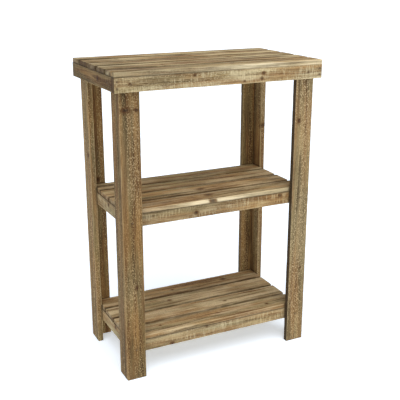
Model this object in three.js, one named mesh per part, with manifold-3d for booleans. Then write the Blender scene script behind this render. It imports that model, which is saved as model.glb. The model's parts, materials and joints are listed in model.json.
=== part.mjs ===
// Three-tier slatted stand, nailed together from rough-sawn softwood boards.
// Millimetres, +Z up. The origin is the centre of the footprint, on the floor;
// +X runs along the stand to the right and the front faces -Y.
import * as THREE from 'three';
import { mergeVertices } from 'three/addons/utils/BufferGeometryUtils.js';
import ManifoldModule from 'manifold-3d';

// ---- Driving dimensions -------------------------------------------------

const WIDTH = 612;
const DEPTH = 345;
const HEIGHT = 864;

// Board stock. Legs, aprons and rails come from one thickness, slats from a thinner one.
const BOARD_THICKNESS = 16;
const SLAT_THICKNESS = 13;
const ARRIS = 0.8;

// A leg is an L of two boards: a face board, and a side board tucked behind it.
const LEG_FACE_WIDTH = 57;
const LEG_SIDE_WIDTH = 42;

const APRON_HEIGHT = 39;
const RAIL_HEIGHT = 36;

const TOP_SLAT_COUNT = 5;
const SHELF_SLAT_COUNT = 4;
const SLAT_GAP = 9.5;
const REAR_SLAT_TRIM = 8;

const BOTTOM_SHELF_TOP = 121;
const MIDDLE_SHELF_TOP = 495;

// Round wire nails with flat heads, set flush.
const NAIL_SHANK_DIAMETER = 2.2;
const NAIL_HEAD_DIAMETER = 4.6;
const NAIL_HEAD_THICKNESS = 1.2;
const NAIL_HOLE_CLEARANCE = 0.3;
const NAIL_POINT_LENGTH = 4;
const NAIL_COVER = 4;
const NAIL_EDGE_MARGIN = 11;
const CORNER_NAIL_LENGTH = 38;
const NAIL_SIDES = 12;

// ---- Sizes that follow --------------------------------------------------

const TOP_UNDERSIDE = HEIGHT - SLAT_THICKNESS;
const APRON_BOTTOM = TOP_UNDERSIDE - APRON_HEIGHT;

// The aprons wrap the outside of the legs, and the shelves stand inside them.
const LEG_OUTER_X = WIDTH / 2 - BOARD_THICKNESS;
const LEG_OUTER_Y = DEPTH / 2 - BOARD_THICKNESS;
const SHELF_OUTER_X = LEG_OUTER_X - BOARD_THICKNESS;
const SHELF_OUTER_Y = LEG_OUTER_Y - BOARD_THICKNESS;

const NAIL_HEAD_RADIUS = NAIL_HEAD_DIAMETER / 2;
const NAIL_SHANK_RADIUS = NAIL_SHANK_DIAMETER / 2;
const LEG_NAIL_LENGTH = 2 * BOARD_THICKNESS - NAIL_COVER;

// ---- Finishes -----------------------------------------------------------

const material = (color, roughness, metalness) => () => (
  new THREE.MeshStandardMaterial({ color, roughness, metalness })
);
const wood = (color) => material(color, 0.85, 0);
const weatheredTop = wood(0x9d8a66);
const weatheredApron = wood(0x97835f);
const brownLeg = wood(0x79633f);
const brownShelf = wood(0x8a7450);
const nailSteel = material(0x3b3631, 0.55, 0.9);

// ---- Solids -------------------------------------------------------------

const wasm = await ManifoldModule();
wasm.setup();

const stand = new THREE.Group();
stand.name = 'slatted_stand';

function toSolid(geometry) {
  const bare = geometry.clone();
  bare.deleteAttribute('normal');
  bare.deleteAttribute('uv');
  const merged = mergeVertices(bare);
  return new wasm.Manifold(new wasm.Mesh({
    numProp: 3,
    vertProperties: new Float32Array(merged.attributes.position.array),
    triVerts: new Uint32Array(merged.index.array),
  }));
}

function toGeometry(solid) {
  const mesh = solid.getMesh();
  const geometry = new THREE.BufferGeometry();
  const positions = new Float32Array(mesh.vertProperties);
  geometry.setAttribute('position', new THREE.BufferAttribute(positions, 3));
  geometry.setIndex(new THREE.BufferAttribute(new Uint32Array(mesh.triVerts), 1));
  geometry.computeVertexNormals();
  return geometry;
}

// A board between two opposite corners. `along` is the axis its length and its
// grain run on: the four long edges are eased, and the two ends are sawn square.
function boardGeometry(low, high, along) {
  const size = high.clone().sub(low);
  const [across, up] = { x: ['y', 'z'], y: ['z', 'x'], z: ['x', 'y'] }[along];
  const halfAcross = size[across] / 2;
  const halfUp = size[up] / 2;
  const section = new THREE.Shape([
    new THREE.Vector2(halfAcross - ARRIS, -halfUp),
    new THREE.Vector2(halfAcross, -halfUp + ARRIS),
    new THREE.Vector2(halfAcross, halfUp - ARRIS),
    new THREE.Vector2(halfAcross - ARRIS, halfUp),
    new THREE.Vector2(-halfAcross + ARRIS, halfUp),
    new THREE.Vector2(-halfAcross, halfUp - ARRIS),
    new THREE.Vector2(-halfAcross, -halfUp + ARRIS),
    new THREE.Vector2(-halfAcross + ARRIS, -halfUp),
  ]);
  const geometry = new THREE.ExtrudeGeometry(section, { depth: size[along], bevelEnabled: false });
  geometry.translate(0, 0, -size[along] / 2);
  const axis = { x: [1, 0, 0], y: [0, 1, 0], z: [0, 0, 1] };
  const frame = new THREE.Matrix4().makeBasis(
    new THREE.Vector3(...axis[across]),
    new THREE.Vector3(...axis[up]),
    new THREE.Vector3(...axis[along]),
  );
  return geometry.applyMatrix4(frame);
}

// A turned shape about +Y: the head's outer face is at the origin, the point is at -length.
function nailGeometry(length, clearance) {
  const head = NAIL_HEAD_RADIUS + clearance;
  const shank = NAIL_SHANK_RADIUS + clearance;
  const profile = [
    new THREE.Vector2(0, -length - clearance),
    new THREE.Vector2(shank, -length + NAIL_POINT_LENGTH),
    new THREE.Vector2(shank, -NAIL_HEAD_THICKNESS),
    new THREE.Vector2(head, -NAIL_HEAD_THICKNESS),
    new THREE.Vector2(head, clearance),
    new THREE.Vector2(0, clearance),
  ];
  return new THREE.LatheGeometry(profile, NAIL_SIDES);
}

// Where a nail is: its head's centre on a board's face, and the face's outward normal.
function nailPlacement(head, outward) {
  const turn = new THREE.Quaternion().setFromUnitVectors(new THREE.Vector3(0, 1, 0), outward);
  return new THREE.Matrix4().compose(head, turn, new THREE.Vector3(1, 1, 1));
}

function addNail(name, nail) {
  const mesh = new THREE.Mesh(nailGeometry(nail.length, 0), nailSteel());
  mesh.name = name;
  mesh.applyMatrix4(nailPlacement(nail.head, nail.outward));
  stand.add(mesh);
}

// Adds a board between two corners, with a hole for each nail that enters it.
function addBoard(name, low, high, along, finish, nails = []) {
  const centre = low.clone().add(high).multiplyScalar(0.5);
  let geometry = boardGeometry(low, high, along);
  if (nails.length > 0) {
    let solid = toSolid(geometry);
    for (const nail of nails) {
      const hole = nailGeometry(nail.length, NAIL_HOLE_CLEARANCE);
      hole.applyMatrix4(nailPlacement(nail.head.clone().sub(centre), nail.outward));
      solid = solid.subtract(toSolid(hole));
    }
    geometry = toGeometry(solid);
  }
  const mesh = new THREE.Mesh(geometry, finish());
  mesh.name = name;
  mesh.position.copy(centre);
  stand.add(mesh);
}

// ---- Nails --------------------------------------------------------------

const SIDES = [['left', -1], ['right', 1]];
const ENDS = [['front', -1], ['rear', 1]];
const SHELVES = [['middle_shelf', MIDDLE_SHELF_TOP], ['bottom_shelf', BOTTOM_SHELF_TOP]];
const APRON_MIDDLE = APRON_BOTTOM + APRON_HEIGHT / 2;
const LEG_FACE_MIDDLE_X = LEG_OUTER_X - LEG_FACE_WIDTH / 2;
const LEG_SIDE_MIDDLE_Y = LEG_OUTER_Y - BOARD_THICKNESS - LEG_SIDE_WIDTH / 2;

// Two nails a corner hold each long apron to the end grain of a short one.
function cornerNails(end, side) {
  const heights = [
    ['upper', TOP_UNDERSIDE - NAIL_EDGE_MARGIN],
    ['lower', APRON_BOTTOM + NAIL_EDGE_MARGIN],
  ];
  return heights.map(([level, z]) => ({
    level,
    head: new THREE.Vector3(side * (WIDTH / 2 - BOARD_THICKNESS / 2), end * DEPTH / 2, z),
    outward: new THREE.Vector3(0, end, 0),
    length: CORNER_NAIL_LENGTH,
  }));
}

// One nail through a long apron into each face board.
function faceNail(end, side) {
  return {
    head: new THREE.Vector3(side * LEG_FACE_MIDDLE_X, end * DEPTH / 2, APRON_MIDDLE),
    outward: new THREE.Vector3(0, end, 0),
    length: LEG_NAIL_LENGTH,
  };
}

// One nail through a short apron into each side board.
function sideNail(end, side) {
  return {
    head: new THREE.Vector3(side * WIDTH / 2, end * LEG_SIDE_MIDDLE_Y, APRON_MIDDLE),
    outward: new THREE.Vector3(side, 0, 0),
    length: LEG_NAIL_LENGTH,
  };
}

// One nail through each face board into the long rail of a shelf.
function shelfNail(end, side, surface) {
  const railMiddle = surface - SLAT_THICKNESS - RAIL_HEIGHT / 2;
  return {
    head: new THREE.Vector3(side * LEG_FACE_MIDDLE_X, end * LEG_OUTER_Y, railMiddle),
    outward: new THREE.Vector3(0, end, 0),
    length: LEG_NAIL_LENGTH,
  };
}

for (const [endName, end] of ENDS) {
  for (const [sideName, side] of SIDES) {
    const corner = `${endName}_${sideName}`;
    for (const nail of cornerNails(end, side)) {
      addNail(`nail_${corner}_corner_${nail.level}`, nail);
    }
    addNail(`nail_${corner}_leg_face`, faceNail(end, side));
    addNail(`nail_${corner}_leg_side`, sideNail(end, side));
    for (const [shelf, surface] of SHELVES) {
      addNail(`nail_${corner}_${shelf}`, shelfNail(end, side, surface));
    }
  }
}

// ---- Legs ---------------------------------------------------------------

// Corners of a box given by one pair of limits on each axis, in either order.
function span([x0, x1], [y0, y1], [z0, z1]) {
  return [
    new THREE.Vector3(Math.min(x0, x1), Math.min(y0, y1), Math.min(z0, z1)),
    new THREE.Vector3(Math.max(x0, x1), Math.max(y0, y1), Math.max(z0, z1)),
  ];
}

for (const [endName, end] of ENDS) {
  for (const [sideName, side] of SIDES) {
    const leg = `leg_${endName}_${sideName}`;
    const [faceLow, faceHigh] = span(
      [side * LEG_OUTER_X, side * (LEG_OUTER_X - LEG_FACE_WIDTH)],
      [end * LEG_OUTER_Y, end * SHELF_OUTER_Y],
      [0, TOP_UNDERSIDE],
    );
    const shelfNails = SHELVES.map(([, surface]) => shelfNail(end, side, surface));
    const faceNails = [faceNail(end, side), ...shelfNails];
    addBoard(`${leg}_face_board`, faceLow, faceHigh, 'z', brownLeg, faceNails);
    const [sideLow, sideHigh] = span(
      [side * LEG_OUTER_X, side * SHELF_OUTER_X],
      [end * SHELF_OUTER_Y, end * (SHELF_OUTER_Y - LEG_SIDE_WIDTH)],
      [0, TOP_UNDERSIDE],
    );
    addBoard(`${leg}_side_board`, sideLow, sideHigh, 'z', brownLeg, [sideNail(end, side)]);
  }
}

// ---- Slats and the frames that carry them -------------------------------

// Slats run the full length, front to rear, one gap apart, and are ripped to fill
// the depth. The rear one is narrower by the trim.
function addSlats(prefix, count, trim, halfLength, halfDepth, surface, finish) {
  const fullWidth = (2 * halfDepth - (count - 1) * SLAT_GAP + trim) / count;
  for (let i = 0; i < count; i += 1) {
    const front = -halfDepth + i * (fullWidth + SLAT_GAP);
    const width = i === count - 1 ? fullWidth - trim : fullWidth;
    const [low, high] = span(
      [-halfLength, halfLength],
      [front, front + width],
      [surface - SLAT_THICKNESS, surface],
    );
    addBoard(`${prefix}_slat_${i + 1}`, low, high, 'x', finish);
  }
}

// Two long members, front and rear, cover the ends of two short ones.
function addFrame(name, halfLength, halfDepth, top, height, finish, nailsOf) {
  for (const [endName, end] of ENDS) {
    const [low, high] = span(
      [-halfLength, halfLength],
      [end * halfDepth, end * (halfDepth - BOARD_THICKNESS)],
      [top - height, top],
    );
    addBoard(name(endName), low, high, 'x', finish, nailsOf.long(end));
  }
  for (const [sideName, side] of SIDES) {
    const [low, high] = span(
      [side * halfLength, side * (halfLength - BOARD_THICKNESS)],
      [-(halfDepth - BOARD_THICKNESS), halfDepth - BOARD_THICKNESS],
      [top - height, top],
    );
    addBoard(name(sideName), low, high, 'y', finish, nailsOf.short(side));
  }
}

const apronNails = {
  long: (end) => SIDES.flatMap(([, side]) => [...cornerNails(end, side), faceNail(end, side)]),
  short: (side) => ENDS.flatMap(([, end]) => [...cornerNails(end, side), sideNail(end, side)]),
};
const railNails = (surface) => ({
  long: (end) => SIDES.map(([, side]) => shelfNail(end, side, surface)),
  short: () => [],
});

addSlats('top', TOP_SLAT_COUNT, REAR_SLAT_TRIM, WIDTH / 2, DEPTH / 2, HEIGHT, weatheredTop);
addFrame(
  (place) => `apron_${place}`,
  WIDTH / 2, DEPTH / 2, TOP_UNDERSIDE, APRON_HEIGHT, weatheredApron, apronNails,
);

for (const [shelf, surface] of SHELVES) {
  addSlats(shelf, SHELF_SLAT_COUNT, 0, SHELF_OUTER_X, SHELF_OUTER_Y, surface, brownShelf);
  addFrame(
    (place) => `${shelf}_rail_${place}`,
    SHELF_OUTER_X, SHELF_OUTER_Y, surface - SLAT_THICKNESS, RAIL_HEIGHT, brownShelf, railNails(surface),
  );
}

export default stand;
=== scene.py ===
# %% [markdown]
# # A slatted stand in rough-sawn, weathered softwood
# The stand has a slatted top and two slatted shelves between four L-shaped legs. It is made of
# 33 boards and the nails that hold them. The packed CAD model gives each board's place and size,
# and this script gives the boards their worn edges, saw marks, knots, grain and grey wash.

# %% Load the packed model
import json
import math

import bpy
import numpy as np
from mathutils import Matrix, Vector

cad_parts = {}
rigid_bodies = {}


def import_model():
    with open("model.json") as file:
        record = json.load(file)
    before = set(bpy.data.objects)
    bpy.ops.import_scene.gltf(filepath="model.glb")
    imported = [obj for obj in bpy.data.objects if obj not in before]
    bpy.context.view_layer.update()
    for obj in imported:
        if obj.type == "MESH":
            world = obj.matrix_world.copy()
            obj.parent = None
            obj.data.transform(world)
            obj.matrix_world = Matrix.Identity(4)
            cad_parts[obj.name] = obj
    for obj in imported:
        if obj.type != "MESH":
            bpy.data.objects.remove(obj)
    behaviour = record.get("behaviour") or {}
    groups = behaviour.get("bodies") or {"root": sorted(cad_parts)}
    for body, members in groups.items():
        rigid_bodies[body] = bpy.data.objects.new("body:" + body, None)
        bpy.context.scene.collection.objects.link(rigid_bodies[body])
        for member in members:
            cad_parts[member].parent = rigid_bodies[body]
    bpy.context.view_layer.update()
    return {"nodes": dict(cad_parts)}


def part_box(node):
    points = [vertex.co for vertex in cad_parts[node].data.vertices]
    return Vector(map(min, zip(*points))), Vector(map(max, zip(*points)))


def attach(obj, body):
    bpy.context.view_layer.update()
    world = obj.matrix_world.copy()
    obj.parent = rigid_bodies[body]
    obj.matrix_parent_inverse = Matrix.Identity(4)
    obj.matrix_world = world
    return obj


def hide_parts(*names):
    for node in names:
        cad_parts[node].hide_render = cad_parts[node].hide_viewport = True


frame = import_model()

MM = 0.001  # every mesh is in metres; sizes of detail are given in mm

# %% [markdown]
# ## Sorting the nodes
# A board is longest along its grain and thinnest through its faces, so the three sides of its
# box say which way it was sawn. Nothing else has to be written down for each board, and a board
# that changes size in the CAD model is found again here.

# %% Find each board's grain, width and thickness
nails = sorted(name for name in frame["nodes"] if name.startswith("nail_"))
boards = {}
for name in sorted(frame["nodes"]):
    if name not in nails:
        low, high = (np.array(corner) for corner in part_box(name))
        through, across, along = np.argsort(high - low)
        boards[name] = {"low": low, "high": high, "axes": (along, across, through)}
print(len(boards), "boards and", len(nails), "nails")

# %% [markdown]
# ## Repeatable roughness
# Sawn wood is irregular at every scale, but it has to come out the same each time. Random draws
# from a generator depend on their order, so the roughness is a hash of place instead: the same
# point and seed always give the same height, whatever else is made before it.

# %% Smooth noise from hashed lattice corners
def hashed(ix, iy, iz, seed):
    """A number from -1 to 1 for each whole-number lattice corner: the three indices and the seed
    are multiplied by large primes, added, and their bits mixed twice."""
    h = (ix * 374761393 + iy * 668265263 + iz * 2246822519 + seed * 3266489917) & 0xFFFFFFFF
    h = ((h ^ (h >> 15)) * 2654435761) & 0xFFFFFFFF
    h = ((h ^ (h >> 13)) * 3266489917) & 0xFFFFFFFF
    return (h ^ (h >> 16)) / 0x7FFFFFFF - 1.0


def noise(points, seed):
    """Value noise from -1 to 1: each point takes the mean of the eight lattice corners round it,
    weighted along each axis by t*t*(3 - 2t), where t is how far the point is across its cell."""
    points = np.asarray(points, float)
    cell = np.floor(points).astype(np.int64)
    t = points - cell
    t = t * t * (3 - 2 * t)
    total = 0.0
    for corner in np.ndindex(2, 2, 2):
        weight = np.abs(1 - np.array(corner) - t).prod(axis=1)
        total = total + weight * hashed(*(cell + corner).T, seed)
    return total


def layered(points, seed, layers=3):
    """A sum of noises, each twice as fine and half as strong as the one before. Here and below,
    a number added to the seed only makes one noise differ from the next."""
    strength = 0.5 ** np.arange(layers)
    points = np.asarray(points)
    parts = [s * noise(points * 2.0 ** k, seed + 17 * k) for k, s in enumerate(strength)]
    return sum(parts) / strength.sum()


print("noise at the origin, seed 1:", round(float(noise([[0.3, 0.2, 0.1]], 1)[0]), 3))

# %% [markdown]
# ## The skin of a board
# A cube with a Bevel modifier has edges that are all alike, and too few points to carry saw marks.
# A board's skin is six grids of points instead, sewn along the edges they share. Numbering
# the outside of a three-way lattice does the sewing: a point on an edge is one point with one
# number, so the skin is closed with no doubles to merge.

# %% Number the outside of a lattice and join it in quads
def lattice_skin(counts):
    """The outside points of a lattice with those counts of points along x, y and z, as rows of
    three indices, and the quads that join them, all turned to face outwards."""
    index = np.full(counts, -1)
    inside = tuple(slice(1, n - 1) for n in counts)
    outside = np.ones(counts, bool)
    outside[inside] = False
    index[outside] = np.arange(outside.sum())
    quads = []
    for a, b, c in ((0, 1, 2), (1, 2, 0), (2, 0, 1)):
        sides = np.moveaxis(index, (a, b, c), (0, 1, 2))
        for side, flip in ((sides[-1], False), (sides[0], True)):
            quad = np.stack([side[:-1, :-1], side[1:, :-1], side[1:, 1:], side[:-1, 1:]], -1)
            quads.append((quad[..., ::-1] if flip else quad).reshape(-1, 4))
    return np.argwhere(outside), np.concatenate(quads)


# Where the points near an arris lie, in mm from the end, and where the even spacing starts.
ARRIS_STATIONS = np.array([0.0, 0.4, 0.95, 1.7])
EVEN_FROM = 2.6


def stations(half, step):
    """Places from -half to half: four close together at each end, where the arris is, and
    the rest evenly spaced at about that step."""
    close = ARRIS_STATIONS * MM
    inner = half - EVEN_FROM * MM
    middle = np.linspace(-inner, inner, max(3, int(round(2 * inner / step)) + 1))
    return np.concatenate([-half + close, middle, (half - close)[::-1]])


rows, quads = lattice_skin((5, 4, 3))
print("a 5 x 4 x 3 lattice has", len(rows), "outside points and", len(quads), "quads")

# %% [markdown]
# ## Knots
# A knot is the root of a branch, so it runs through the board's thickness and the grain bends
# round it. Each board may have a few. A place is given as a share of the board's length and of its
# width, so a knot stays in its board when the board changes size.

# %% Where the larger knots are
# Share of the length, share of the width and radius in mm. A fourth number is the knot's length
# along the grain over its width, where that isn't the usual one.
KNOT_STRETCH = 1.30
KNOTS = {
    "apron_front": [(0.363, 0.82, 3.6, 1.40), (0.688, 0.66, 4.6), (0.688, 0.30, 4.6, 1.20),
                    (0.593, 0.20, 2.6), (0.073, 0.56, 2.4)],
    "apron_left": [(0.360, 0.55, 7.0)],
    "apron_rear": [(0.310, 0.45, 5.0), (0.770, 0.62, 3.6)],
    "apron_right": [(0.620, 0.40, 4.4)],
    "leg_front_left_face_board": [(0.903, 0.30, 12.5, 0.62), (0.895, 0.82, 6.5, 0.80),
                                  (0.330, 0.62, 4.0)],
    "leg_front_left_side_board": [(0.420, 0.50, 3.5)],
    "leg_front_right_face_board": [(0.818, 0.25, 5.6), (0.280, 0.70, 3.2)],
    "leg_rear_left_side_board": [(0.696, 0.45, 5.5), (0.200, 0.55, 3.0)],
    "leg_rear_left_face_board": [(0.600, 0.60, 5.5), (0.140, 0.30, 4.0)],
    "leg_rear_right_side_board": [(0.740, 0.06, 6.0)],
    "leg_rear_right_face_board": [(0.500, 0.35, 4.0)],
    "top_slat_1": [(0.560, 0.55, 4.0)],
    "top_slat_2": [(0.270, 0.30, 5.0), (0.800, 0.65, 3.0)],
    "top_slat_3": [(0.660, 0.40, 6.5)],
    "top_slat_4": [(0.160, 0.60, 4.0), (0.520, 0.30, 3.0)],
    "top_slat_5": [(0.400, 0.50, 5.0)],
    "middle_shelf_slat_1": [(0.475, 0.62, 8.0, 1.60), (0.470, 0.02, 7.0, 1.60)],
    "middle_shelf_slat_2": [(0.480, 0.40, 7.0, 1.60)],
    "middle_shelf_slat_3": [(0.750, 0.55, 4.0)],
    "middle_shelf_slat_4": [(0.240, 0.50, 4.0)],
    "middle_shelf_rail_front": [(0.380, 0.42, 5.6), (0.864, 0.78, 5.0)],
    "middle_shelf_rail_left": [(0.520, 0.72, 5.0)],
    "middle_shelf_rail_right": [(0.300, 0.50, 4.0)],
    "bottom_shelf_slat_1": [(0.833, 0.42, 4.0), (0.200, 0.60, 3.0)],
    "bottom_shelf_slat_2": [(0.640, 0.45, 4.0)],
    "bottom_shelf_slat_3": [(0.360, 0.55, 5.5)],
    "bottom_shelf_slat_4": [(0.770, 0.52, 6.5), (0.440, 0.45, 3.6)],
    "bottom_shelf_rail_front": [(0.443, 0.95, 3.4), (0.229, 0.12, 6.0)],
    "bottom_shelf_rail_left": [(0.430, 0.80, 5.0)],
    "bottom_shelf_rail_rear": [(0.550, 0.40, 5.0)],
}
assert set(KNOTS) <= set(boards)
print(sum(len(k) for k in KNOTS.values()), "knots in", len(KNOTS), "boards")

# %% [markdown]
# ## Growth rings
# A board is cut from a log, so the lines on its faces are where the faces cut the yearly rings. A
# flat stripe picture would not turn the corner onto the edges and ends. Measuring how far each
# point is from the middle of the log gives lines that do: streaks on one face, pointed arches
# on another and arcs on the sawn ends, all from one number.

# %% Ring number and knot distance at each point of a board
NO_KNOT = 9.0
KNOT_LEAN = 0.35
RING_PITCH = 3.4


def knot_fields(name, local, size):
    """For points in board axes (mm from its centre: along, across, through): the distance to the
    nearest knot in knot radii, and how far each point's ring is carried sideways round the knots.
    A knot is an ellipse that leans a little through the thickness, and its outline is ragged by
    an eighth. The push dies away like a bell along the grain and steadily across it."""
    nearest = np.full(len(local), NO_KNOT)
    push = np.zeros(len(local))
    for k, (share_along, share_across, radius, *stretch) in enumerate(KNOTS.get(name, [])):
        stretch = stretch[0] if stretch else KNOT_STRETCH
        lean = KNOT_LEAN * (-1) ** k
        dl = local[:, 0] - (share_along - 0.5) * size[0] - lean * local[:, 2]
        dw = local[:, 1] - (share_across - 0.5) * size[1]
        ragged = 1 + 0.12 * noise(local / 5.0, 900 + k)
        nearest = np.minimum(nearest, np.hypot(dl / stretch, dw) / radius * ragged)
        reach = np.exp(-((dl / (3.2 * radius)) ** 2)) * np.exp(-np.abs(dw) / (2.5 * radius))
        push += 1.15 * radius * np.tanh(dw / radius) * reach
    return nearest, push


def ring_number(local, push, pith, pitch, seed):
    """Distance from the log's middle line divided by the yearly growth. The middle line is `pith`
    (across, through) from the board's centre; it wanders slowly along the length, and the rings are
    wavier along the board than across it."""
    wander = 7.0 * noise(local * [1 / 210, 0, 0], seed)
    wander += 3.0 * noise(local * [1 / 70, 0, 0], seed + 1)
    waves = 1.6 * layered(local * [1 / 60, 1 / 22, 1 / 22], seed + 2, 2)
    across = local[:, 1] - push - pith[0] - wander
    through = local[:, 2] - pith[1]
    return (np.hypot(across, through) + waves + 0.012 * local[:, 0]) / pitch


print("a ring is about", RING_PITCH, "mm of growth")

# %% [markdown]
# ## Sawn, handled and worn
# The boards were left as they came from the saw. The blade left ridges across the grain, the
# arrises are rubbed and chipped, and the ends are a little out of line. These are real dents in
# the surface, and they only go inwards from the CAD size, so boards that touch don't cut into
# each other. Finer fibres than the grid can carry are left to the material.

# %% How each family of boards was cut
# step_along and step_across are the grid in mm; saw is half the ridge height, rough the general
# unevenness, arris the usual edge radius, chip how deep the bitten edges go and cup how far the
# two sides of a face lie back from its middle, all in mm.
CUTS = {
    "top": dict(step_along=2.3, step_across=1.9, saw=0.04, rough=0.18, arris=1.1, chip=1.2, cup=0.30),
    "apron": dict(step_along=1.5, step_across=1.9, saw=0.14, rough=0.20, arris=0.9, chip=1.0, cup=0.12),
    "leg": dict(step_along=2.3, step_across=1.8, saw=0.04, rough=0.26, arris=1.0, chip=1.0, cup=0.12),
    "shelf": dict(step_along=2.3, step_across=1.9, saw=0.04, rough=0.18, arris=1.2, chip=1.3, cup=0.30),
    "rail": dict(step_along=1.5, step_across=1.9, saw=0.13, rough=0.16, arris=0.9, chip=0.9, cup=0.08),
}
SAW_PITCH = 5.5
LEAST_DENT = 0.02


def family(name):
    if name.startswith("top_slat"):
        return "top"
    if name.startswith("apron"):
        return "apron"
    if name.startswith("leg"):
        return "leg"
    return "rail" if "_rail_" in name else "shelf"


for kind in CUTS:
    print(kind, "boards:", sum(family(name) == kind for name in boards))


# %% The shape of a board
def eased_box(lattice, half, radius):
    """Rounds a box's edges: each point is drawn in to the box that is smaller by the radius all
    round, then pushed back out by that radius. Gives the new points and their outward directions."""
    inner = np.clip(lattice, -(half - radius[:, None]), half - radius[:, None])
    out = lattice - inner
    out /= np.linalg.norm(out, axis=1)[:, None]
    return inner + out * radius[:, None], out


def arris_radius(local, size, cut, seed):
    """The radius at each point's nearest edge: the usual arris, changing slowly along the board,
    and larger where a chip has gone. Each of the four long edges has noise of its own."""
    corner = np.stack([local[:, 0], 40 * np.sign(local[:, 1]), 40 * np.sign(local[:, 2])], 1)
    slow = 0.35 * noise(corner * [1 / 45, 1, 1], seed)
    chips = np.clip(layered(corner * [1 / 13, 1, 1], seed + 5, 2) - 0.38, 0, 1) / 0.62
    return np.clip(cut["arris"] * (1 + slow) + 2 * cut["chip"] * chips, 0.5, 0.32 * size[2])


print("the deepest chips are", max(cut["chip"] for cut in CUTS.values()), "mm")


# %% Dents in a board's surface
def saw_ridges(local, seed):
    """Ridges across the grain: a wave along the length whose crests lean and wander a little
    over the width, in patches where the blade ran rough."""
    wander = 0.35 * noise(local * [1 / 25, 1 / 30, 0], seed)
    phase = local[:, 0] / SAW_PITCH + 0.01 * local[:, 1] + wander
    patch = np.clip(0.55 + 0.9 * noise(local * [1 / 110, 1 / 45, 1 / 60], seed + 3), 0, 1)
    return np.sin(2 * math.pi * phase) * patch


def dents(local, normal, size, cut, near_knot, seed):
    """How far each point sits below the CAD surface, in mm: a small allowance, plus unevenness
    drawn out along the grain, saw ridges on the faces, the board's cup, a wandering and nibbled
    edge line, and hollow cheeks beside the knots, less what the knots stand proud. It is never
    less than LEAST_DENT, so that nothing comes outside the CAD box."""
    uneven = layered(local * [1 / 26, 1 / 6, 1 / 6], seed + 7, 3)
    ridges = saw_ridges(local, seed + 11) * (1 - normal[:, 0] ** 2)
    cup = cut["cup"] * (2 * local[:, 1] / size[1]) ** 2 * normal[:, 2] ** 2
    edge = 0.12 * (1 + noise(local * [1 / 120, 0.02, 0], seed + 13)) * normal[:, 1] ** 2
    edge += 0.22 * (0.6 + layered(local * [1 / 9, 0.02, 1 / 9], seed + 14, 2)) * normal[:, 1] ** 2
    cheek = 0.3 * np.exp(-((near_knot - 1.3) / 0.45) ** 2)
    raised = 0.25 * np.exp(-((near_knot / 0.9) ** 4))
    depth = 0.05 + cut["rough"] * (0.6 + uneven) + cut["saw"] * (1 + ridges)
    return np.maximum(depth + cup + edge + cheek - raised, LEAST_DENT)


ridge_height = 2 * max(cut["saw"] for cut in CUTS.values())
print("saw ridges are up to", ridge_height, "mm high and", SAW_PITCH, "mm apart")

# %% [markdown]
# ## What each point of a board remembers
# Colour depends on things that only the shape knows: which ring a point is on, whether it is near
# a knot or a rubbed edge, how far along the grain it lies, and which nails are near. Each board
# carries these as named values at its points, and one wood recipe reads them.

# %% Where the nail heads are
def head_of(name):
    """The middle of a nail's head, the way it faces and the nail's length, in metres: a nail is
    longest along its shank, and its head is at the end further from the stand's middle."""
    low, high = (np.array(corner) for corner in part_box(name))
    shank = int(np.argmax(high - low))
    centre = (low + high) / 2
    side = 1.0 if centre[shank] > 0 else -1.0
    head = centre.copy()
    head[shank] = high[shank] if side > 0 else low[shank]
    facing = np.zeros(3)
    facing[shank] = side
    return head, facing, float((high - low)[shank])


heads = {name: head_of(name) for name in nails}
print("first nail head at", heads[nails[0]][0].round(4))


# %% Put points and quads into a mesh, with its named values
def skin_object(name, points, quads, values=None):
    """A smooth-shaded object from arrays of points (metres) and quads. `values` maps a name to
    an array with one number, or one row of three, for each point."""
    mesh = bpy.data.meshes.new(name)
    mesh.vertices.add(len(points))
    mesh.vertices.foreach_set("co", points.astype(np.float32).ravel())
    mesh.loops.add(quads.size)
    mesh.loops.foreach_set("vertex_index", quads.astype(np.int32).ravel())
    mesh.polygons.add(len(quads))
    mesh.polygons.foreach_set("loop_start", np.arange(0, quads.size, 4, dtype=np.int32))
    mesh.polygons.foreach_set("use_smooth", np.ones(len(quads), bool))
    for key, array in (values or {}).items():
        kind, field = ("FLOAT_VECTOR", "vector") if array.ndim == 2 else ("FLOAT", "value")
        attribute = mesh.attributes.new(key, kind, "POINT")
        attribute.data.foreach_set(field, array.astype(np.float32).ravel())
    mesh.update()
    mesh.validate()
    obj = bpy.data.objects.new(name, mesh)
    bpy.context.scene.collection.objects.link(obj)
    return obj


print("mesh points are kept to", np.finfo(np.float32).precision, "figures")

# %% [markdown]
# ## Shade from board to board
# No two boards weather alike. The top and the front apron are bleached by light, the shelves are
# browner, and the front left leg keeps most of its brown. The boards that face left, the left
# apron most of all, are painted darker and browner as painted shade on that side. The bottom
# shelf's slats darken towards their right ends as a painted shadow of the front right leg. A base
# shade is given for each board or kind of board, with a slow drift along its length.

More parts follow.
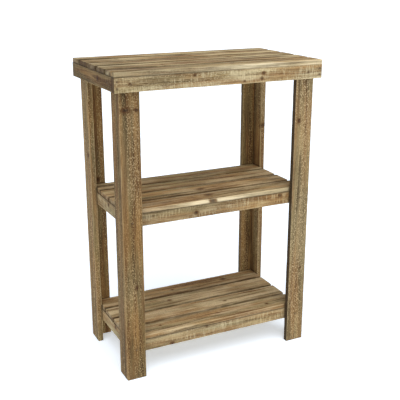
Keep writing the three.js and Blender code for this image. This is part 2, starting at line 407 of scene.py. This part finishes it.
# %% Shades: how light, how brown against grey, and how much lighter towards the far end
SHADES = {
    "top_slat_1": (0.94, 0.35, 0.44),
    "top_slat": (0.98, 0.38, 0.10),
    "apron_front": (0.95, 0.42, 0.20),
    # Painted shade: the left apron and the left sides of the legs face left and are painted darker and
    # browner.
    "apron_left": (0.61, 1.20, 0.00),
    "apron": (0.80, 0.55, 0.00),
    "leg_front_left_face": (0.66, 0.95, 0.00),
    "leg_front_left_side": (0.65, 0.90, 0.00),
    "leg_front_right_face": (0.80, 0.58, 0.20),
    "leg_rear_left_side": (0.81, 0.76, 0.00),
    "leg_rear_right": (0.96, 0.70, 0.00),
    "leg": (0.98, 0.65, 0.00),
    "middle_shelf_slat_1": (0.98, 0.58, 0.16),
    "middle_shelf_slat": (1.12, 0.40, 0.00),
    "middle_shelf_rail": (0.83, 0.62, 0.30),
    # Painted shadow: the bottom shelf's slats darken towards their right ends, where the front right
    # leg's shadow falls.
    "bottom_shelf_slat_1": (1.04, 0.50, -0.14),
    "bottom_shelf_slat_2": (1.06, 0.10, -0.12),
    "bottom_shelf_slat_3": (1.10, 0.30, -0.16),
    "bottom_shelf_slat_4": (1.02, 0.50, -0.14),
    "bottom_shelf_rail": (0.88, 0.50, 0.08),
}


def shade_of(name):
    """A board's shade: that of the longest entry that its name starts with."""
    return SHADES[max((key for key in SHADES if name.startswith(key)), key=len)]


print("front apron:", shade_of("apron_front"), "rear apron:", shade_of("apron_rear"))


# %% How far each point is from the nearest other board
def joint_distance(name, points):
    """The distance in mm from each point to the nearest other board's box. It is 0 where two
    boards touch, and a box's distance is the length of what sticks out past it on each axis."""
    nearest = np.full(len(points), 99.0)
    for other, board in boards.items():
        if other != name:
            past = np.maximum(np.maximum(board["low"] - points, points - board["high"]), 0)
            nearest = np.minimum(nearest, np.linalg.norm(past, axis=1) / MM)
    return nearest


corner_point = boards["apron_front"]["low"][None]
corner_gap = joint_distance("apron_front", corner_point)[0]
print("the front apron's lower corner is", round(corner_gap, 1), "mm from another board")


# %% Which edges were rubbed bare
# How much, then the middle of the stretch and its reach as shares of the length.
BARE_EDGES = {"middle_shelf_slat_1": (1.6, 0.50, 0.24), "top_slat_1": (0.80, 0.85, 0.40),
              "other": (0.0, 0.5, 1.0)}


def bare_edge(name, local, size, normal, seed):
    """The front edge of a front slat is rubbed bare by hands and cloths: most along one stretch,
    in long patches, full on the edge that faces the front, and gone just over the arris."""
    amount, middle, reach = BARE_EDGES.get(name, BARE_EDGES["other"])
    away = np.abs(local[:, 0] / size[0] + 0.5 - middle) / reach
    stretch = np.clip(1.6 - away, 0.30, 1)
    patches = np.clip(0.80 + 0.6 * noise(local * [1 / 70, 0, 0], seed + 80), 0, 1)
    facing = np.clip((-normal[:, 1] - 0.55) / 0.35, 0, 1)
    return amount * stretch * facing * patches


print("bare edges on", ", ".join(key for key in BARE_EDGES if key != "other"))


# %% How dark each board's two sawn ends are, the left, front or lower end first
DARK_ENDS = {"top_slat_4": (1.50, 0.8), "top_slat_3": (1.05, 0.9), "top_slat_2": (1.15, 1.0),
             "top_slat_1": (0.55, 0.3), "apron_front": (1.6, 1.0), "other": (0.9, 0.7)}


def end_dark(name, local, normal):
    """Sawn ends soak up dirt: 0 on the faces and up to the board's own two values on the end
    grain of its two ends."""
    low_end, high_end = DARK_ENDS.get(name, DARK_ENDS["other"])
    return np.abs(normal[:, 0]) * np.where(local[:, 0] > 0, high_end, low_end)


print("sawn ends are usually", DARK_ENDS["other"], "dark")


# %% Where hands and cloths have rubbed, and the arrises carry a painted highlight
RUB_AND_HIGHLIGHT_WIDTH = 2.6


def rubbed_edge_and_highlight(local, size, seed):
    """Rubbing from 0 to 1 beside the long edges, partly wear and partly a painted highlight on the
    arrises. On a face, the distance to the nearest long edge is the larger of what is left to the
    board's side and what is left to its face; the rubbed strip's width changes along the board."""
    left = size[1:] / 2 - np.abs(local[:, 1:])
    reach = RUB_AND_HIGHLIGHT_WIDTH * (1 + layered(local * [1 / 35, 1 / 15, 1 / 15], seed + 90, 3))
    return np.clip(1.2 - left.max(axis=1) / np.maximum(reach, 0.3), 0, 1)


print("edges are rubbed about", RUB_AND_HIGHLIGHT_WIDTH, "mm wide")


# %% Where dirt lies and shade is painted
# Dirt and painted shade: the darkening at joints and on the seams under the slats is partly dirt and
# partly painted shade, and along the gaps between slats it is painted shade.
DIRT_AND_SHADE_REACH = 4.0
GAP_SHADE = {"top": 0.92, "shelf": 0.78}
SEAM_DIRT_AND_SHADE = 0.95
SEAM_WIDTH = 0.9


def grime_of(name, local, size, joint, seed):
    """Dirt and painted shade from 0 to 1. It is thick where a board meets another and gone at the
    reach set above, in mm, and there it is partly dirt and partly painted shade. On slats it is
    painted shade along the long edges that face a gap, reaching a ragged 2 mm or so onto the face.
    On aprons and rails it lies on the upper edge, under the slats, partly dirt and partly painted
    shade. It gets thinner to the right along the seam between the front slat and the front apron."""
    ragged = layered(local * [1 / 22, 0.1, 0.1], seed + 70, 2)
    darkened = 0.8 * np.clip(1 - joint / (DIRT_AND_SHADE_REACH + 2.0 * ragged), 0, 1)
    if family(name) in GAP_SHADE:
        faces_gap = np.sign(local[:, 1]) != (-1 if name.endswith("slat_1") else 0)
        to_arris = size[1] / 2 - np.abs(local[:, 1]) + 1.6 * ragged
        beside_gap = faces_gap * np.clip(1.0 - to_arris / 2.2, 0, 1)
        darkened = np.maximum(darkened, GAP_SHADE[family(name)] * beside_gap)
    if family(name) in ("apron", "rail"):
        darkened = np.maximum(darkened, SEAM_DIRT_AND_SHADE * (local[:, 1] > size[1] / 2 - SEAM_WIDTH))
    if name in ("apron_front", "top_slat_1"):
        darkened = darkened * np.clip(0.7 - 1.2 * local[:, 0] / size[0], 0.2, 1.0)
    return darkened


print("grime reaches", DIRT_AND_SHADE_REACH, "mm from a joint")


# %% Rust beside the nails, and painted shade on the sides that face into the stand
STAIN_RADIUS = 4.5


def nail_stain(points, normal):
    """Rust from 0 to 1: full at a nail's head and falling off as a bell curve, on the side of the
    board that the head faces."""
    stain = np.zeros(len(points))
    for head, facing, _ in heads.values():
        away = np.linalg.norm(points - head, axis=1) / MM
        stain = np.maximum(stain, np.exp(-((away / STAIN_RADIUS) ** 2)) * (normal @ facing > 0.5))
    return stain


def inner_sides(name, normal, centre):
    """How far each point of a leg board faces into the stand, from 0 to 1, and the same for the
    narrow edge of a face board alone. Both are 0 on every other board. Both mark painted shade:
    the sides that face in are painted browner and darker, and the inward edge darker still."""
    inward = np.clip(-normal * np.sign(centre), 0, 1)
    is_face_board = name.endswith("face_board")
    inner = np.maximum(inward[:, 0] * (family(name) == "leg"), inward[:, 1] * is_face_board)
    return inner, inward[:, 0] * is_face_board


print("a nail stains the wood about", STAIN_RADIUS, "mm round it")


# %% The lattice on a board's box
def board_lattice(board, cut):
    """The points on a board's box, in metres from its centre, and the quads that join them."""
    half = (board["high"] - board["low"]) / 2
    steps = np.empty(3)
    steps[list(board["axes"])] = cut["step_along"], cut["step_across"], cut["step_across"]
    places = [stations(half[a], steps[a] * MM) for a in range(3)]
    rows, quads = lattice_skin([len(p) for p in places])
    return np.stack([places[a][rows[:, a]] for a in range(3)], 1), quads


sample = board_lattice(boards["apron_front"], CUTS["apron"])
print("the front apron has", len(sample[0]), "points and", len(sample[1]), "quads")


# %% Make one board
END_TRIM = 1.6
HEAD_DISH = 0.6
PITH_DEPTH = 18
# How much darker the front legs are painted on the sides that face into the stand: painted shade.
FRONT_INNER_SHADE = 0.20
GRAIN_SHIFT = np.array([431.0, 77.0, 53.0])
# How dark the painted shade is on the edge of a leg's face board where it faces into the stand.
INNER_EDGE_SHADE = {"leg_front_right_face_board": 0.95, "other": 0.55}


def make_board(name, seed):
    """One sawn board. The lattice on its CAD box gets round arrises, a slat's two ends are drawn in
    by up to END_TRIM, and each point is pushed in by its dent, less where the board touches
    another and more under a nail's head. `spread` places the log's middle behind the board and
    sets its ring width, so that each board's rings are its own."""
    board = boards[name]
    cut = CUTS[family(name)]
    axes = list(board["axes"])
    centre = (board["low"] + board["high"]) / 2
    half = (board["high"] - board["low"]) / 2
    lattice, quads = board_lattice(board, cut)

    local = lattice[:, axes] / MM
    size = 2 * half[axes] / MM
    points, normal = eased_box(lattice, half, arris_radius(local, size, cut, seed) * MM)
    if family(name) in ("top", "shelf"):
        short = 0.5 + 0.5 * noise([[seed, 0.3, 0.7], [seed, 5.3, 2.1]], seed)
        trim = END_TRIM * MM * np.where(local[:, 0] > 0, *short)
        points[:, axes[0]] *= 1 - trim / half[axes[0]]

    near_knot, push = knot_fields(name, local, size)
    stain = nail_stain(lattice + centre, normal)
    joint = joint_distance(name, lattice + centre)
    depth = dents(local, normal[:, axes], size, cut, near_knot, seed)
    depth = depth * np.clip(0.15 + joint / 3.0, 0, 1) + HEAD_DISH * stain

    spread = noise([[seed, 0.5, 0.5], [seed, 7.5, 0.5], [seed, 3.5, 9.5]], seed + 40)
    pith = (14 * spread[0], -(PITH_DEPTH + 16 * abs(spread[1])))
    # Painted shade on the sides that face into the stand: leg boards are made browner there, the front
    # legs darker too, and the inward edge of a face board darker still.
    inner, inner_edge = inner_sides(name, normal, centre)
    edge_grime = inner_edge * INNER_EDGE_SHADE.get(name, INNER_EDGE_SHADE["other"])
    dim = 0.0 if "_rear_" in name else FRONT_INNER_SHADE
    light, brown, slope = shade_of(name)
    light *= 1 + 0.07 * spread[0]
    drift = noise(local * [1 / 150, 1 / 60, 0.01], seed + 60)
    values = {
        "grain": local + GRAIN_SHIFT * (seed % 97),
        "ring": ring_number(local, push, pith, RING_PITCH + 0.9 * spread[2], seed + 50),
        "knot": near_knot,
        "edge": rubbed_edge_and_highlight(local, size, seed),
        "end": end_dark(name, local, normal[:, axes]),
        "stain": stain,
        "grime": np.maximum(grime_of(name, local, size, joint, seed), edge_grime),
        "bare": bare_edge(name, local, size, normal[:, axes], seed),
        "shade": light * (1 + 0.10 * drift + slope * local[:, 0] / size[0]) * (1 - dim * inner),
        "brown": np.clip(brown + 0.25 * drift + 0.25 * inner, 0, 1.2),
    }
    points = points - normal * (depth * MM)[:, None] + centre
    return skin_object(name + "_sawn", points, quads, values)


sawn = {name: make_board(name, 101 + 7 * i) for i, name in enumerate(boards)}
faces = sum(len(obj.data.polygons) for obj in sawn.values())
print(len(sawn), "sawn boards,", 2 * faces, "triangles in all, most in one piece:",
      2 * max(len(obj.data.polygons) for obj in sawn.values()))

# %% [markdown]
# ## Nails
# The nails are plain round wire nails with flat heads, driven until they sit just below the
# surface. Only the heads show. Each is turned from one outline carried round an axis, so its
# rim is rolled and its face slightly domed, where a plain cylinder would have a hard rim.

# %% Turn a nail from its outline
HEAD_RADIUS = 2.3
SHANK_RADIUS = 1.1
HEAD_THICKNESS = 1.2
HEAD_SUNK = 0.55


def nail_outline(length):
    """Radius and height in mm, from the middle of the head's face, over its rolled rim, along the
    shank and down to the point. Height 0 is the CAD head's face."""
    turn = np.linspace(0, math.pi, 9)
    rim = 0.45
    roll = np.stack([HEAD_RADIUS - rim + rim * np.sin(turn), rim * np.cos(turn) - rim], 1)
    dome = np.array([[0.0, 0.18], [0.6, 0.17], [1.2, 0.12], [1.6, 0.05]])
    shank = np.array([[SHANK_RADIUS, -HEAD_THICKNESS], [SHANK_RADIUS, 4 - length], [0.0, 0.6 - length]])
    outline = np.concatenate([dome, roll, shank])
    outline[:, 1] -= HEAD_SUNK
    return outline


def make_nail(name, sides=20):
    """Carries the outline round the shank: point (i, j) is the outline's radius i turned by angle
    j, at the outline's height i. The first and last rows have radius 0 and are one point each."""
    head, facing, length = heads[name]
    outline = nail_outline(length / MM) * MM
    angle = np.arange(sides) * 2 * math.pi / sides
    first = np.roll(facing, 1)
    second = np.cross(facing, first)
    spoke = np.cos(angle)[:, None] * first + np.sin(angle)[:, None] * second
    rings = outline[1:-1, 0, None, None] * spoke + outline[1:-1, 1, None, None] * facing
    tip = outline[[0, -1], 1, None] * facing
    points = np.concatenate([rings.reshape(-1, 3), tip]) + head
    count = len(outline) - 2
    grid = np.arange(count * sides).reshape(count, sides)
    here, there = grid[:-1], grid[1:]
    quads = np.stack([here, there, np.roll(there, -1, 1), np.roll(here, -1, 1)], -1).reshape(-1, 4)
    cap = np.stack([grid[0], np.roll(grid[0], -1), np.full(sides, count * sides)], -1)
    end = np.stack([np.roll(grid[-1], -1), grid[-1], np.full(sides, count * sides + 1)], -1)
    mesh = bpy.data.meshes.new(name + "_turned")
    mesh.from_pydata(points.tolist(), [], quads.tolist() + cap.tolist() + end.tolist())
    mesh.shade_smooth()
    across = (points - head) @ np.stack([first, second, facing], 1) / MM
    attribute = mesh.attributes.new("head", "FLOAT_VECTOR", "POINT")
    attribute.data.foreach_set("vector", across.astype(np.float32).ravel())
    obj = bpy.data.objects.new(name + "_turned", mesh)
    bpy.context.scene.collection.objects.link(obj)
    return obj


turned = {name: make_nail(name) for name in nails}
print(len(turned), "nails turned,", len(turned[nails[0]].data.polygons), "faces each")

# %% [markdown]
# ## A short way to write materials
# A material is a small network of nodes. Written out in full, each node takes several lines. This
# helper makes a node, sets its inputs and hands back its output, so that a recipe reads like
# arithmetic.

# %% The recipe helper
class Recipe:
    """Makes nodes in one material. An input may be a number, a colour, or another node's output."""

    def __init__(self, name):
        self.material = bpy.data.materials.new(name)
        self.material.use_nodes = True
        self.tree = self.material.node_tree
        self.shader = self.tree.nodes["Principled BSDF"]

    def put(self, socket, value):
        if isinstance(value, bpy.types.NodeSocket):
            self.tree.links.new(value, socket)
        elif value is not None:
            socket.default_value = value

    def value(self, name, output="Fac"):
        """One of the named values that the piece carries at its points."""
        node = self.tree.nodes.new("ShaderNodeAttribute")
        node.attribute_name = name
        return node.outputs[output]

    def vector(self, name):
        return self.value(name, "Vector")

    def math(self, operation, a, b=None, clamp=False):
        node = self.tree.nodes.new("ShaderNodeMath")
        node.operation = operation
        node.use_clamp = clamp
        for socket, value in zip(node.inputs, (a, b)):
            self.put(socket, value)
        return node.outputs[0]

    def chain(self, operation, values, clamp):
        total = values[0]
        for k, value in enumerate(values[1:], 2):
            total = self.math(operation, total, value, clamp=clamp and k == len(values))
        return total

    def plus(self, *values, clamp=False):
        """The sum of the values, kept within 0 and 1 at the end if `clamp` says so."""
        return self.chain("ADD", values, clamp)

    def times(self, *values, clamp=False):
        """The product of the values, kept within 0 and 1 at the end if `clamp` says so."""
        return self.chain("MULTIPLY", values, clamp)

    def minus(self, a, b, clamp=False):
        return self.math("SUBTRACT", a, b, clamp=clamp)

    def vector_math(self, operation, vector):
        node = self.tree.nodes.new("ShaderNodeVectorMath")
        node.operation = operation
        self.put(node.inputs[0], vector)
        return node

    def stretch(self, vector, scale):
        """The vector with each of its parts multiplied by its own scale."""
        node = self.vector_math("MULTIPLY", vector)
        node.inputs[1].default_value = scale
        return node.outputs[0]

    def scaled(self, vector, amount):
        """The vector, or colour, with all its parts multiplied by one value."""
        node = self.vector_math("SCALE", vector)
        self.put(node.inputs["Scale"], amount)
        return node.outputs[0]

    def length(self, vector):
        return self.vector_math("LENGTH", vector).outputs["Value"]

    def noise(self, vector, scale, detail=3.0, roughness=0.5):
        """Noise from 0 to 1 on the vector stretched by the three scales."""
        node = self.tree.nodes.new("ShaderNodeTexNoise")
        self.put(node.inputs["Vector"], self.stretch(vector, scale))
        node.inputs["Scale"].default_value = 1.0
        node.inputs["Detail"].default_value = detail
        node.inputs["Roughness"].default_value = roughness
        return node.outputs["Fac"]

    def cells(self, vector, scale):
        """The distance to the nearest of many scattered points, on the vector stretched by the
        three scales, so that it is small inside each fleck."""
        node = self.tree.nodes.new("ShaderNodeTexVoronoi")
        self.put(node.inputs["Vector"], self.stretch(vector, scale))
        node.inputs["Scale"].default_value = 1.0
        return node.outputs["Distance"]

    def step(self, value, low, high, start=0.0, end=1.0):
        """A smooth change from start to end as the value goes from low to high."""
        node = self.tree.nodes.new("ShaderNodeMapRange")
        node.interpolation_type = "SMOOTHSTEP"
        for key, number in zip(("Value", "From Min", "From Max", "To Min", "To Max"),
                               (value, low, high, start, end)):
            self.put(node.inputs[key], number)
        return node.outputs["Result"]

    def mix(self, share, a, b, blend="MIX"):
        node = self.tree.nodes.new("ShaderNodeMix")
        node.data_type = "RGBA"
        node.blend_type = blend
        self.put(node.inputs[0], share)
        self.put(node.inputs[6], a)
        self.put(node.inputs[7], b)
        return node.outputs[2]

    def bump(self, height, distance, strength):
        node = self.tree.nodes.new("ShaderNodeBump")
        self.put(node.inputs["Height"], height)
        node.inputs["Distance"].default_value = distance
        node.inputs["Strength"].default_value = strength
        return node.outputs["Normal"]


print("a recipe can", ", ".join(name for name in vars(Recipe) if not name.startswith("_")))


# %% Colours from a paint chart
def shade(red, green, blue):
    """A colour given as a paint chart gives it (0 to 255), made linear for the shader."""
    part = np.array([red, green, blue]) / 255
    linear = np.where(part <= 0.04045, part / 12.92, ((part + 0.055) / 1.055) ** 2.4)
    return (*linear.tolist(), 1.0)


print("a mid brown is", [round(c, 3) for c in shade(129, 106, 73)])

# %% [markdown]
# ## The wood
# Under the wash the boards are ordinary softwood: pale early wood and darker late wood in each
# ring, with fine fibres. A thin grey wash was brushed on and rubbed back. It stays in the rough
# fibres and on the high spots, so the boards look streaked and speckled in place of evenly grey.
# The recipe lays these on in that order, and families of boards differ only in how much of each.

# %% Fibres, bands and rings, which the later steps share
# How often each noise changes per mm: along the board, across it and through it.
FINENESS = {
    "wobble": (0.02, 0.22, 0.22),
    "fibre": (0.035, 1.10, 1.10),
    "band": (0.0045, 0.070, 0.070),
    "torn": (0.17, 0.36, 0.36),
    "hue": (0.0035, 0.045, 0.045),
    "patch": (0.008, 0.035, 0.035),
    "fleck": (0.18, 0.38, 0.38),
    "column": (0.0024, 0.070, 0.070),
    "saw_line": (0.27, 0.030, 0.030),
    "rough_patch": (0.010, 0.06, 0.06),
}


def wood_fields(r, grain):
    """Noises drawn out along the grain, from short torn fibres to long bands, and the late wood: it
    darkens slowly across each ring and stops sharply at the next."""
    wobble = r.noise(grain, FINENESS["wobble"], 3.0)
    ring = r.math("FRACT", r.plus(r.value("ring"), r.times(wobble, 0.9)))
    return {
        "late": r.times(r.step(ring, 0.30, 0.88), r.step(ring, 0.90, 1.0, 1.0, 0.0)),
        "fibre": r.noise(grain, FINENESS["fibre"], 3.0, 0.6),
        "band": r.noise(grain, FINENESS["band"], 4.0, 0.6),
        "torn": r.noise(grain, FINENESS["torn"], 2.0, 0.6),
    }


for kind, (along, across, _) in FINENESS.items():
    print(kind, "changes every", round(1 / along), "mm along and", round(1 / across, 1), "mm across")


# %% Raw softwood
LIGHT_WOOD = shade(172, 137, 90), shade(160, 140, 98)
DARK_WOOD = shade(98, 66, 38), shade(84, 66, 41)
KNOT_HALO = shade(104, 72, 38)
KNOT_RINGS = shade(106, 68, 30), shade(70, 44, 19)
KNOT_CORE = shade(44, 26, 11)


def raw_wood(r, grain, fields, streak):
    """The share of dark wood is the late wood, the board's brown, and the bands and fibres about
    their middle value. A knot has a soft halo, rings of two browns and a dark core."""
    brown, knot = r.value("brown"), r.value("knot")
    bands = r.times(r.minus(fields["band"], 0.5), 3.2 * streak)
    fibres = r.times(r.minus(fields["fibre"], 0.5), 0.9)
    dark = r.plus(r.times(fields["late"], 0.45), r.times(brown, 0.46), bands, fibres, clamp=True)
    hue = r.step(r.noise(grain, FINENESS["hue"], 2.0), 0.38, 0.62)
    wood = r.mix(dark, r.mix(hue, *LIGHT_WOOD), r.mix(hue, *DARK_WOOD))

    knot_ring = r.math("SINE", r.times(knot, 14.0))
    knot_wood = r.mix(r.step(knot_ring, -1.0, 1.0), *KNOT_RINGS)
    wood = r.mix(r.step(knot, 0.9, 2.4, 0.55, 0.0), wood, KNOT_HALO)
    wood = r.mix(r.step(knot, 0.75, 1.20, 0.95, 0.0), wood, knot_wood)
    return r.mix(r.step(knot, 0.20, 0.62, 0.85, 0.0), wood, KNOT_CORE)


print("early wood is", [round(c, 2) for c in LIGHT_WOOD[0][:3]])
print("late wood is", [round(c, 2) for c in DARK_WOOD[0][:3]])


# %% The wash that is left
WASH_HOLD = 1.38
BROWN_SHEDS = 0.90


def saw_ticks(r, grain, tick):
    """Light marks across the grain, in patches, where the wash caught on the saw's ridges."""
    lines = r.noise(grain, FINENESS["saw_line"], 1.0)
    rough_patch = r.step(r.noise(grain, FINENESS["rough_patch"], 1.0), 0.34, 0.58)
    return r.times(r.step(lines, 0.46, 0.66), rough_patch, tick)


def wash_share(r, grain, fields, ticks, dash, wash):
    """How much wash covers each point: what is left in broad patches between the dark bands, flecks
    in long columns where fibres are torn, and the saw ticks; less on brown boards and knots."""
    patch = r.step(r.noise(grain, FINENESS["patch"], 2.0), 0.38, 0.62)
    left = r.times(patch, wash, r.step(fields["band"], 0.66, 0.42))
    fleck = r.step(r.cells(grain, FINENESS["fleck"]), 0.22, 0.48, 1.0, 0.0)
    column = r.step(r.noise(grain, FINENESS["column"], 1.0), 0.38, 0.54, 0.10, 1.0)
    marks = r.times(fleck, r.step(fields["torn"], 0.36, 0.50), column, dash)
    holds = r.minus(WASH_HOLD, r.times(r.value("brown"), BROWN_SHEDS))
    grey = r.times(r.plus(left, marks, ticks), holds, clamp=True)
    return r.times(grey, r.step(r.value("knot"), 0.8, 1.6, 0.25, 1.0))


print("the brownest boards hold", round(WASH_HOLD - 1.2 * BROWN_SHEDS, 2), "of the wash")


# %% Wear, dirt, painted shade and painted highlight
DEEP_BROWN = shade(62, 45, 27)
# The light colour of rubbed arrises, partly wear and partly a painted highlight.
RUBBED_AND_LIT_WOOD = shade(206, 182, 138)
BARE_WOOD = shade(250, 231, 192)
END_GRAIN = shade(78, 54, 28)
# The dark brown below is both dirt and painted shade, in gaps, joints and inward edges.
DIRT_AND_SHADE_BROWN = shade(54, 39, 22)
RUST_STAIN = shade(70, 50, 29)
BROWN_TINT = (1.0, 0.90, 0.70, 1.0)


def add_wear(r, colour, fields):
    """Each layer is mixed over the one before: pits between torn fibres, rubbed arrises that are partly
    a painted highlight, the bare front edges with their fibres, sawn ends, dirt with painted shade,
    and rust. Brown boards are tinted last, and the brown includes painted shade on the sides that
    face into the stand."""
    knot, grime, fibre = r.value("knot"), r.value("grime"), fields["fibre"]
    pits = r.times(r.step(fields["torn"], 0.46, 0.34), r.step(knot, 0.8, 1.6, 0.0, 0.30))
    colour = r.mix(pits, colour, DEEP_BROWN)
    # Rubbed arrises: partly wear and partly a painted highlight.
    rubbed = r.times(r.step(r.value("edge"), 0.15, 0.7), r.step(fibre, 0.30, 0.55))
    rubbed = r.times(rubbed, r.minus(1.0, grime), clamp=True)
    colour = r.mix(r.times(rubbed, 0.62), colour, RUBBED_AND_LIT_WOOD)
    bare = r.times(r.value("bare"), r.step(knot, 0.8, 1.6))
    bare = r.times(bare, r.step(fields["band"], 0.62, 0.40, 0.35, 1.0))
    bare = r.times(bare, r.step(fibre, 0.34, 0.60, 0.68, 1.0))
    colour = r.mix(bare, colour, BARE_WOOD)
    colour = r.mix(r.times(r.step(r.value("end"), 0.3, 1.4), 0.92, clamp=True), colour, END_GRAIN)
    # Dirt and painted shade are mixed in together here.
    colour = r.mix(r.times(grime, 0.80), colour, DIRT_AND_SHADE_BROWN)
    colour = r.mix(r.times(r.value("stain"), 0.58), colour, RUST_STAIN)
    return r.mix(r.step(r.value("brown"), 0.35, 1.2), colour, BROWN_TINT, "MULTIPLY")


# The dirt colour printed here is also the colour of the painted shade.
print("bare wood is", [round(c, 2) for c in BARE_WOOD[:3]], "and dirt", [round(c, 2) for c in DIRT_AND_SHADE_BROWN[:3]])


# %% The wood recipe
def wood_recipe(name, dash, tick, streak, wash, wash_colour):
    """`dash` is how strongly torn fibres show as short light flecks, `tick` the same for saw
    marks, `streak` for long streaks, and `wash` how much of the wash colour is left."""
    r = Recipe(name)
    grain = r.vector("grain")
    fields = wood_fields(r, grain)
    ticks = saw_ticks(r, grain, tick)
    grey = wash_share(r, grain, fields, ticks, dash, wash)
    washed = r.mix(grey, raw_wood(r, grain, fields, streak), wash_colour)
    worn = add_wear(r, washed, fields)
    r.put(r.shader.inputs["Base Color"], r.scaled(worn, r.value("shade")))

    knot_gloss = r.times(r.step(r.value("knot"), 0.8, 1.2), 0.08)
    rough = r.plus(r.plus(0.72, r.times(fields["fibre"], 0.2)), knot_gloss, clamp=True)
    r.put(r.shader.inputs["Roughness"], rough)
    r.shader.inputs["Specular IOR Level"].default_value = 0.25

    height = r.plus(r.times(fields["fibre"], 0.5), r.times(fields["torn"], 0.9),
                    r.times(fields["late"], 0.25), r.times(ticks, 0.35))
    r.put(r.shader.inputs["Normal"], r.bump(height, 0.0009, 0.7))
    return r.material


PALE_WASH = shade(199, 181, 141)
BROWN_WASH = shade(198, 177, 140)
LEG_WASH = shade(208, 182, 138)
WOODS = {
    "top": wood_recipe("bleached_top_wood", 0.20, 0.10, 1.5, 0.75, PALE_WASH),
    "apron": wood_recipe("sawn_apron_wood", 0.50, 0.56, 0.7, 0.66, PALE_WASH),
    "leg": wood_recipe("rough_leg_wood", 1.65, 0.05, 0.7, 0.12, LEG_WASH),
    "shelf": wood_recipe("brown_shelf_wood", 0.20, 0.10, 1.0, 0.65, BROWN_WASH),
    "rail": wood_recipe("sawn_rail_wood", 0.30, 0.62, 0.6, 0.52, PALE_WASH),
}
print("woods:", ", ".join(sorted(WOODS)))

# %% [markdown]
# ## The nails' steel
# Wire nails in damp rooms go dull and brown. The steel is dark and slightly rough, with rust in
# speckles that are thickest at the rim, where water sits.

# %% The nail recipe
def nail_recipe():
    """Rust is a speckle, about half as strong at the head's middle as at its rim."""
    r = Recipe("dull_nail_steel")
    place = r.vector("head")
    speck = r.noise(place, (1.6, 1.6, 1.6), 4.0, 0.6)
    rim = r.step(r.length(r.stretch(place, (1.0, 1.0, 0.0))), 1.0, HEAD_RADIUS)
    rust = r.times(r.step(speck, 0.38, 0.62), r.plus(0.45, rim), clamp=True)
    r.put(r.shader.inputs["Base Color"], r.mix(rust, shade(100, 82, 58), shade(98, 70, 42)))
    r.put(r.shader.inputs["Metallic"], r.minus(0.8, rust, clamp=True))
    r.put(r.shader.inputs["Roughness"], r.step(rust, 0.0, 1.0, 0.45, 0.9))
    r.put(r.shader.inputs["Normal"], r.bump(speck, 0.0002, 0.6))
    return r.material


steel = nail_recipe()
print("nail material:", steel.name)

# %% [markdown]
# ## Putting the pieces on the frame
# Each finished board stands for its CAD board, and each turned nail for its CAD nail. The stand
# has no moving part, so everything rides on its one body.

# %% Finish, slot and ride
for name, obj in sawn.items():
    obj.data.materials.append(WOODS[family(name)])
    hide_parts(name)
    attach(obj, "root")
for name, obj in turned.items():
    obj.data.materials.append(steel)
    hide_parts(name)
    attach(obj, "root")
print("pieces on the body:", len(sawn) + len(turned))

# %% [markdown]
# ## The floor and the light
# The stand is in an even white room. A pale floor runs out past the view and turns up far away, so
# that no horizon shows. A white surround lights the sides, and one large soft lamp, high up and a
# little to the front, makes the tops brighter.

# %% A pale floor
# The half width, the radius of the flat part and the rim's height in metres, and its own glow.
FLOOR_HALF = 60.0
FLOOR_FLAT = 30.0
FLOOR_RIM = 9.0
FLOOR_GLOW = 0.415


def pale_floor():
    """A flat sheet whose far rim turns up: the height is the rim's height times the square of how
    far a point has got from the flat part's edge towards the rim."""
    side = np.linspace(-FLOOR_HALF, FLOOR_HALF, 61)
    x, y = np.meshgrid(side, side, indexing="ij")
    towards_rim = np.clip((np.hypot(x, y) - FLOOR_FLAT) / (FLOOR_HALF - FLOOR_FLAT), 0, 1)
    points = np.stack([x.ravel(), y.ravel(), FLOOR_RIM * towards_rim.ravel() ** 2], 1)
    grid = np.arange(x.size).reshape(x.shape)
    quads = np.stack([grid[:-1, :-1], grid[1:, :-1], grid[1:, 1:], grid[:-1, 1:]], -1).reshape(-1, 4)
    floor = skin_object("studio_floor", points, quads)
    paint = Recipe("pale_floor_paint")
    paint.shader.inputs["Base Color"].default_value = shade(230, 240, 254)
    paint.shader.inputs["Roughness"].default_value = 0.95
    paint.shader.inputs["Specular IOR Level"].default_value = 0.0
    paint.shader.inputs["Emission Color"].default_value = (0.94, 0.98, 1.0, 1.0)
    paint.shader.inputs["Emission Strength"].default_value = FLOOR_GLOW
    floor.data.materials.append(paint.material)
    return floor


pale_floor()
print("the floor is flat for", FLOOR_FLAT, "m and glows at", FLOOR_GLOW)

# %% White surround and soft lamp
SURROUND = 0.46
world = bpy.data.worlds.new("white room")
world.use_nodes = True
surround = world.node_tree.nodes["Background"]
surround.inputs["Color"].default_value = (1.0, 1.0, 1.0, 1.0)
surround.inputs["Strength"].default_value = SURROUND
bpy.context.scene.world = world


def sky_lamp(name, towards, spread, strength):
    """A sun lamp that shines along the direction `towards`, as wide as `spread` degrees of sky."""
    data = bpy.data.lights.new(name, "SUN")
    data.angle = math.radians(spread)
    data.energy = strength
    lamp = bpy.data.objects.new(name, data)
    bpy.context.scene.collection.objects.link(lamp)
    lamp.rotation_euler = Vector(towards).to_track_quat("-Z", "Y").to_euler()


sky_lamp("overhead_lamp", (0.10, 0.53, -1.0), 58, 2.3)
print("surround strength", SURROUND)

# %% [markdown]
# ## The camera
# The stand is seen from its front left, from a little above the top and about two metres away.
# The longish lens keeps the near corner from looking stretched.

# %% Camera
camera_data = bpy.data.cameras.new("camera")
camera_data.sensor_width = 36
camera_data.lens = 65.95
camera = bpy.data.objects.new("camera", camera_data)
bpy.context.scene.collection.objects.link(camera)
camera.location = (-0.9026, -1.8667, 1.1078)
camera.rotation_euler = (math.radians(72.35), 0, math.radians(-26.1))
bpy.context.scene.camera = camera
bpy.context.scene.view_settings.view_transform = "Standard"
print("camera", round((camera.location.x ** 2 + camera.location.y ** 2) ** 0.5, 2), "m from the middle")

# %% [markdown]
